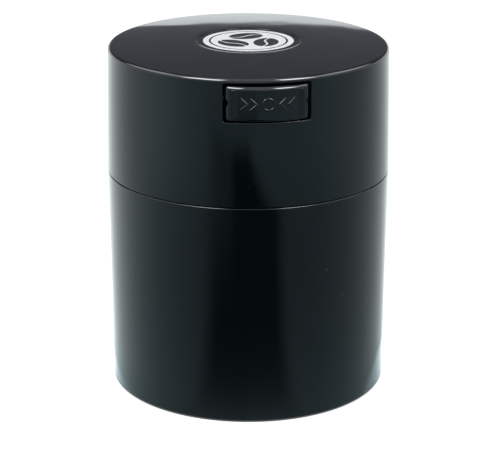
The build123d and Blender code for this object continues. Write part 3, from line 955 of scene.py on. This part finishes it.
mark_grids = [raised_line(circle((0, 0), mark_ring_radius, 60), True)]
leg_share = np.linspace(0, 1, 8)[:, None]
for side in (-1, 1):
    for arrow_place in arrow_places:
        tip = np.array([side * (arrow_place - arrow_half_width), 0])
        head = np.array([side * (arrow_place + arrow_half_width), arrow_half_height])
        foot = head * (1, -1)
        legs = [head + (tip - head) * leg_share, tip + (foot - tip) * leg_share[1:]]
        mark_grids.append(raised_line(np.vstack(legs), False))
marks_plastic = black_plastic("marks_plastic", 0.09, 0.0)
button_marks = surface("button_marks", mark_grids, marks_plastic, radians(50))
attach(button_marks, "button")

# The label is a thin black film in the lid's recess, printed white with a ring round a disc. The
# disc shows three coffee beans in black: two halves each, with an S-shaped crease between them.
label_low, label_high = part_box("label_disc")
label_radius = label_high.x
print_layer = 0.00003
print_ring = (0.0198, 0.0227)
print_disc_radius = 0.0188
bean_count = 3
bean_place = 0.0095
bean_half_length = 0.0088
bean_half_width = 0.0062
bean_lean = radians(102)
crease_half_width = 0.00055
crease_swing = 0.0013
first_bean_turn = radians(90)


def printed_film(name, base, roughness, gloss):
    """Smooth printed film. Its colour and its gloss vary a little, as a screen print's do."""
    material, shader = new_material(name, {"Specular IOR Level": gloss})
    cloud = on_object(shader, "TexNoise", {"Scale": 160, "Detail": 5})
    vary_colour(shader, cloud, Vector(base) * 0.93, base)
    vary_roughness(shader, cloud, roughness * 0.85, roughness * 1.15)
    return material


def layer(outline, low):
    """A thin flat layer of print: a closed outline at its foot and at its top, joined to the
    outline's middle on both faces."""
    middle = outline * 0 + outline.mean(0)
    high = low + print_layer
    rings = ((middle, low), (outline, low), (outline, high), (middle, high))
    return np.array([at_level(ring, level) for ring, level in rings]), False, True


label_foot, label_top = label_low.z, label_high.z
label_corners = [(0, label_foot), (label_radius, label_foot), (label_radius, label_top), (0, label_top)]
label_outline = rounded(label_corners, [0.00005, 0.0001], 4)
label_film = printed_film("label_film", (0.007, 0.008, 0.009), 0.2, 0.03)
label = surface("label", [lathed(label_outline)], label_film)
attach(label, "lid")
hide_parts("label_disc")

inner, outer = print_ring
ring_section = np.array([(inner, 0), (outer, 0), (outer, print_layer), (inner, print_layer), (inner, 0)])
print_disc = circle((0, 0), print_disc_radius, 360)
white_grids = [lathed(ring_section + np.array([0, label_top])), layer(print_disc, label_top)]
white_film = printed_film("white_print", (0.93, 0.93, 0.94), 0.4, 0.4)
white_print = surface("label_white", white_grids, white_film)
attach(white_print, "lid")

# Half a bean: the ellipse's arc, and back along the crease, v = swing sin(pi u / length) + gap.
arc_start = np.arcsin(crease_half_width / bean_half_width)
arc_turn = np.linspace(arc_start, pi - arc_start, 40)
crease_along = np.linspace(-1, 1, 30)[1:-1]
crease_gap = crease_half_width + crease_swing * np.sin(pi * crease_along)
half_bean = np.vstack([
    np.stack([bean_half_length * np.cos(arc_turn), bean_half_width * np.sin(arc_turn)], -1),
    np.stack([bean_half_length * cos(arc_start) * crease_along, crease_gap], -1),
])
bean_grids = []
for bean in range(bean_count):
    place_turn = first_bean_turn + bean * 2 * pi / bean_count
    lean = place_turn + bean_lean
    for half in (1, -1):
        along, beside = half * half_bean.T
        across = bean_place * cos(place_turn) + along * cos(lean) - beside * sin(lean)
        away = bean_place * sin(place_turn) + along * sin(lean) + beside * cos(lean)
        bean_grids.append(layer(np.stack([across, away], -1), label_top + print_layer))
black_print = printed_film("black_print", (0.008, 0.009, 0.010), 0.25, 0.04)
bean_print = surface("label_beans", bean_grids, black_print)
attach(bean_print, "lid")

# The inner lid is one moulding of matte black plastic, welded by its collar to the lid's ring. It
# has a floor with the air port and its seat, a groove for the seal, and a ledge that rests on the
# canister's mouth. Cheeks with rails guide the button, and stops behind it carry its springs.
bridge_low, bridge_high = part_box("guide_bridge")
plug_bottom = inner_low.z
plug_floor_top = plug_bottom + 0.0022
plug_chamfer = 0.0015
under_reaches = (0.056, 0.06)
floor_reaches = (0.054, 0.058)
groove_bottom = plug_bottom + 0.0036
groove_top = groove_bottom + 0.0037
ledge_bottom = mouth_height + 0.0001
ledge_top = ledge_bottom + 0.002
ledge_radius = inner_high.x
port_radius = 0.004
seat_radius = 0.0056
seat_top = plug_floor_top + 0.0012
bay_floor = button_foot - hook_drop - 0.0009
cheek_across = (button_half_width + 0.00035, button_half_width + 0.00255)
cheek_front = -0.05933
stop_front = button_rear + button_travel + 0.001
stop_rear = stop_front + 0.0022
stop_inside = arm_across[1] + 0.001
rail_radius = 0.0014
post_across = 0.013
post_radius = 0.0032
post_top = bridge_low.z + 0.0024
screw_radius = 0.00125
screw_hole_foot = post_top - 0.0072
bay_least_radius = 0.05
bedded = 0.0003
face_offset = 0.0001
bedded_foot = plug_floor_top - bedded


def matte_plastic(name, base):
    """Matte black plastic with a fine spark-eroded grain from the mould."""
    material, shader = new_material(name)
    grain = on_object(shader, "TexNoise", {"Scale": 2200, "Detail": 2})
    cloud = on_object(shader, "TexNoise", {"Scale": 45, "Detail": 3})
    add_relief(shader, grain, 0.35, 0.00012)
    vary_roughness(shader, cloud, 0.38, 0.55)
    vary_colour(shader, cloud, Vector(base) * 0.8, Vector(base) * 1.2)
    return material


def floor_rings(first, last, level, steps):
    """Rings across the plug's floor, from one circle (y of its middle, radius) evenly to another."""
    share = np.linspace(0, 1, steps)[:, None]
    middle, radius = (np.array(first) * (1 - share) + np.array(last) * share).T
    return np.stack([middle, radius, 0 * middle + level], -1)


plug_section = rounded(
    [
        (under_reaches[1], plug_bottom),
        (plug_radius - plug_chamfer, plug_bottom),
        (plug_radius, plug_bottom + plug_chamfer),
        (plug_radius, groove_bottom),
        (groove_radius, groove_bottom),
        (groove_radius, groove_top),
        (plug_radius, groove_top),
        (plug_radius, ledge_bottom),
        (ledge_radius, ledge_bottom),
        (ledge_radius, ledge_top),
        (collar_radius, ledge_top),
        (collar_radius, weld_height),
        (plug_inside, weld_height),
        (plug_inside, plug_floor_top),
        (floor_reaches[1], plug_floor_top),
    ],
    [
        0.0004, 0.0004, 0.0003, 0.0002, 0.0002, 0.0003, 0.0003,
        0.0004, 0.0004, 0.0004, 0.0003, 0.0003, 0.001,
    ],
    5,
)
plug_rings = np.vstack([
    floor_rings((valve_y, port_radius), (0, under_reaches[0]), plug_bottom, 7),
    np.column_stack([0 * plug_section[:, 0], plug_section]),
    floor_rings((0, floor_reaches[0]), (valve_y, seat_radius), plug_floor_top, 7),
    [(valve_y, seat_radius, seat_top - 0.0002), (valve_y, seat_radius - 0.0002, seat_top)],
    [(valve_y, port_radius + 0.0002, seat_top), (valve_y, port_radius, seat_top - 0.0002)],
])
ring_middle, ring_radius, ring_level = plug_rings.T[:, :, None]
# Each ring has columns outside the bay and columns in it. In the bay the collar is cut down.
bay_edge = np.arcsin(bay_half_width / np.maximum(ring_radius, bay_least_radius))
beside_bay = 1.5 * pi + bay_edge + np.linspace(0, 1, 320) * (2 * pi - 2 * bay_edge)
in_bay = 1.5 * pi + np.linspace(-1, 1, 41) * bay_edge
plug_turn = np.hstack([beside_bay, in_bay])
plug_level = np.hstack([ring_level + 0 * beside_bay, np.minimum(ring_level, bay_floor) + 0 * in_bay])
plug_points = around(ring_radius, plug_turn, plug_level)
plug_points[:, :, 1] += ring_middle
post_corners = [
    (0, bedded_foot),
    (post_radius, bedded_foot),
    (post_radius, post_top),
    (screw_radius, post_top),
    (screw_radius, screw_hole_foot),
    (0, screw_hole_foot),
]
post_outline = rounded(post_corners, [0.0001, 0.0002, 0.0002, 0.0001], 3)
inner_grids = [(plug_points, True, True)]
for side in (-1, 1):
    left, right = sorted(side * np.array(cheek_across))
    cheek = bar_section((left, cheek_front), (right, stop_rear))
    left, right = sorted(side * np.array((stop_inside, cheek_across[1] - bedded)))
    stop = bar_section((left, stop_front), (right, stop_rear - face_offset))
    rail = circle((side * notch_place, window_middle), rail_radius)
    spigot = circle((side * spring_across, window_middle), spigot_radius)
    inner_grids.append(slab(cheek, bedded_foot, weld_height, "z"))
    inner_grids.append(slab(stop, bedded_foot, weld_height - face_offset, "z"))
    inner_grids.append(slab(rail, cheek_front + 0.0002, stop_front + bedded, "y"))
    inner_grids.append(slab(spigot, stop_front - spigot_length, stop_front + bedded, "y"))
    inner_grids.append(lathed(post_outline, 48, (side * post_across, valve_y)))
inner_plastic = matte_plastic("inner_plastic", (0.018, 0.019, 0.021))
inner_lid = surface("inner_lid_moulding", inner_grids, inner_plastic)
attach(inner_lid, "lid")
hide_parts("inner_lid")

# The seal is a soft grey ring in the plug's groove. Its two round lips press on the canister.
seal_low, seal_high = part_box("plug_seal")
seal_reach = seal_high.x
lip_places = (0.27, 0.73)
lip_half = 0.25
lip_valley = 0.4
valley_half = 0.2


def soft_rubber(name, base):
    """Matte grey rubber, slightly mottled, with a dusty bloom."""
    material, shader = new_material(name, {"Roughness": 0.7, "Sheen Weight": 0.25})
    mottle = on_object(shader, "TexNoise", {"Scale": 260, "Detail": 4})
    vary_colour(shader, mottle, Vector(base) * 0.82, Vector(base) * 1.15)
    add_relief(shader, mottle, 0.2, 0.0001)
    return material


lip_share = np.linspace(0, 1, 41)
lips = [np.sqrt(np.clip(1 - ((lip_share - place) / lip_half) ** 2, 0, None)) for place in lip_places]
lips = np.maximum(np.maximum(*lips), lip_valley * (np.abs(lip_share - 0.5) < valley_half))
lip_radius = plug_radius + (seal_reach - plug_radius) * lips
seal_back = groove_radius + 0.00005
seal_outline = np.vstack([
    np.stack([lip_radius, seal_low.z + (seal_high.z - seal_low.z) * lip_share], -1),
    [(seal_back, seal_high.z), (seal_back, seal_low.z), (plug_radius, seal_low.z)],
])
seal_rubber = soft_rubber("seal_rubber", (0.22, 0.22, 0.21))
seal_ring = surface("seal_ring", [lathed(seal_outline)], seal_rubber, radians(50))
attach(seal_ring, "seal")
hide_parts("plug_seal")

# The valve: a rubber washer on the rod's nose closes the port, and the rod's flange holds it. The
# rod is black plastic. A ground steel pin crosses it and runs in the slots of the button's arms.
washer_low, washer_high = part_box("valve_seal")
washer_radius = washer_high.x
washer_hole = 0.00245
washer_middle = (washer_low.z + washer_high.z) / 2
nose_radius = 0.0024
nose_lip_radius = 0.003
nose_lip_height = valve_low.z + 0.0014
flange_radius = valve_high.x
flange_top = washer_high.z + 0.0016
spring_seat_radius = 0.0041
spring_seat_top = flange_top + 0.0015
rod_radius = 0.003
washer_corners = [
    (washer_hole, washer_middle),
    (washer_hole, washer_low.z),
    (washer_radius, washer_low.z),
    (washer_radius, washer_high.z),
    (washer_hole, washer_high.z),
    (washer_hole, washer_middle),
]
washer_outline = rounded(washer_corners, [0.0002, 0.0005, 0.0003, 0.0002], 6)
valve_washer = surface("valve_washer", [lathed(washer_outline, 90, (0, valve_y))], seal_rubber)
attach(valve_washer, "valve")
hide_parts("valve_seal")

rod_outline = rounded(
    [
        (0, valve_low.z),
        (nose_radius, valve_low.z),
        (nose_lip_radius, nose_lip_height),
        (nose_radius, nose_lip_height),
        (nose_radius, washer_high.z),
        (flange_radius, washer_high.z),
        (flange_radius, flange_top),
        (spring_seat_radius, flange_top),
        (spring_seat_radius, spring_seat_top),
        (rod_radius, spring_seat_top),
        (rod_radius, valve_high.z - 0.0004),
        (rod_radius - 0.0004, valve_high.z),
        (0, valve_high.z),
    ],
    [0.0004, 0.0002, 0.0001, 0.0002, 0.0003, 0.0003, 0.0003, 0.0003, 0.0002, 0.0002, 0.0002],
    5,
)
valve_stem = surface("valve_stem", [lathed(rod_outline, 90, (0, valve_y))], inner_plastic)
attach(valve_stem, "valve")
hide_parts("valve_rod")


def worked_steel(name, base, roughness, grain_scale):
    """Bright steel with the fine lines of drawing or grinding: a noise stretched along the lines
    changes its roughness and its height."""
    material, shader = new_material(name, {"Base Color": (*base, 1), "Metallic": 1.0})
    stretch = on_object(shader, "Mapping", {"Scale": grain_scale})
    lines = add_node(shader, "TexNoise", {"Scale": 1, "Detail": 3})
    join((stretch, 0, lines, "Vector"))
    vary_roughness(shader, lines, roughness * 0.6, roughness * 1.4)
    add_relief(shader, lines, 0.15, 0.000012)
    return material


pin_steel = worked_steel("pin_steel", (0.62, 0.62, 0.63), 0.28, (6000, 300, 300))
pin_grid = slab(circle((valve_y, pin_height), pin_radius), pin_low.x, pin_high.x, "x", 0.0003)
cross_pin = surface("cross_pin", [pin_grid], pin_steel)
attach(cross_pin, "valve")
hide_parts("lift_pin")

# The springs are coils of drawn steel wire. Two push the button out and one holds the valve shut.
# A winding is the wire's thickness, the number of turns and the pitch of the end turns.
button_winding = (0.0007, 5, 0.0009)
valve_winding = (0.0008, 3, 0.0013)
spring_steel = worked_steel("spring_steel", (0.58, 0.58, 0.59), 0.32, (900, 900, 900))


def coil(middle, axis, low, high, outside, winding):
    """A round wire wound about an axis to an outside radius. The pitch is end_pitch in the end turns
    and more between, so the height at share t of the way is the integral of the pitch up to t."""
    wire, turns, end_pitch = winding
    share = np.linspace(0, 1, 48 * turns + 1)
    angle = 2 * pi * turns * share
    closed, open_again = 0.3 / turns, 1.1 / turns
    opening = smooth_step(closed, open_again, share) * smooth_step(closed, open_again, 1 - share)
    climb = np.concatenate([[0], np.cumsum((opening[1:] + opening[:-1]) / 2)])
    travel = high - low - wire - end_pitch * turns
    level = low + wire / 2 + end_pitch * turns * share + travel * climb / climb[-1]
    spoke = around(1, angle, 0)
    line = around(outside - wire / 2, angle, level) + np.array([*middle, 0])
    beside = np.cross(unit(np.gradient(line, axis=0)), spoke)
    bend = np.linspace(0, 2 * pi, 14, endpoint=False)[:, None]
    rings = line[:, None] + wire / 2 * (np.cos(bend) * spoke[:, None] + np.sin(bend) * beside[:, None])
    return capped(rings[:, :, order[axis]])


def add_spring(name, node, middle, winding, axis):
    """A spring in its CAD node's box."""
    low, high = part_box(node)
    start, end = (low.y, high.y) if axis == "y" else (low.z, high.z)
    grid = coil(middle, axis, start, end, (high.x - low.x) / 2, winding)
    spring = surface(name, [grid], spring_steel, radians(60))
    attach(spring, "lid")
    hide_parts(node)
    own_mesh(spring)


for side_name, side in (("left", -1), ("right", 1)):
    name, node = f"button_coil_{side_name}", f"button_spring_{side_name}"
    middle = (side * spring_across, window_middle)
    add_spring(name, node, middle, button_winding, "y")
add_spring("valve_coil", "valve_spring", (0, valve_y), valve_winding, "z")

# The bridge over the valve guides its rod. Two small steel screws with hexagon sockets hold it.
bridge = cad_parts["guide_bridge"]
for bridge_slot in bridge.material_slots:
    bridge_slot.material = inner_plastic

screw_low, screw_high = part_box("bridge_screws")
bridge_top = bridge_high.z
screw_head_radius = 0.0025
screw_socket_radius = 0.001
screw_socket_foot = screw_high.z - 0.00085
thread_pitch = 0.0007
thread_depth = 0.00016


def screw(across):
    """A screw turned about its own axis. The socket's radius is a hexagon's, and the shank's falls
    by the thread's depth as 1 - cos of the height in pitches less the turn."""
    turn = np.linspace(0, 2 * pi, 72, endpoint=False)
    hexagon = screw_socket_radius * cos(pi / 6) / np.cos(turn % (pi / 3) - pi / 6)
    head = [
        (0, screw_socket_foot),
        (hexagon, screw_socket_foot),
        (hexagon, screw_high.z),
        (screw_head_radius - 0.0005, screw_high.z),
        (screw_head_radius - 0.0001, screw_high.z - 0.0002),
        (screw_head_radius, screw_high.z - 0.0005),
        (screw_head_radius, bridge_top + 0.0001),
        (screw_head_radius - 0.0001, bridge_top),
        (screw_radius, bridge_top),
        (screw_radius, post_top),
    ]
    level = np.linspace(post_top - 0.0001, screw_low.z + 0.0003, 96)[:, None]
    shank = screw_radius - thread_depth / 2 * (1 - np.cos(2 * pi * level / thread_pitch - turn))
    tip = shank[-1:]
    radii = np.vstack([*[radius + 0 * turn for radius, _ in head], shank, tip * 0.7, 0 * tip])
    levels = np.vstack([*[height for _, height in head], level, screw_low.z, screw_low.z])
    return around(radii, turn, levels) + np.array([across, valve_y, 0]), False, True


socket_screws = surface("socket_screws", [screw(-post_across), screw(post_across)], pin_steel)
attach(socket_screws, "lid")
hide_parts("bridge_screws")
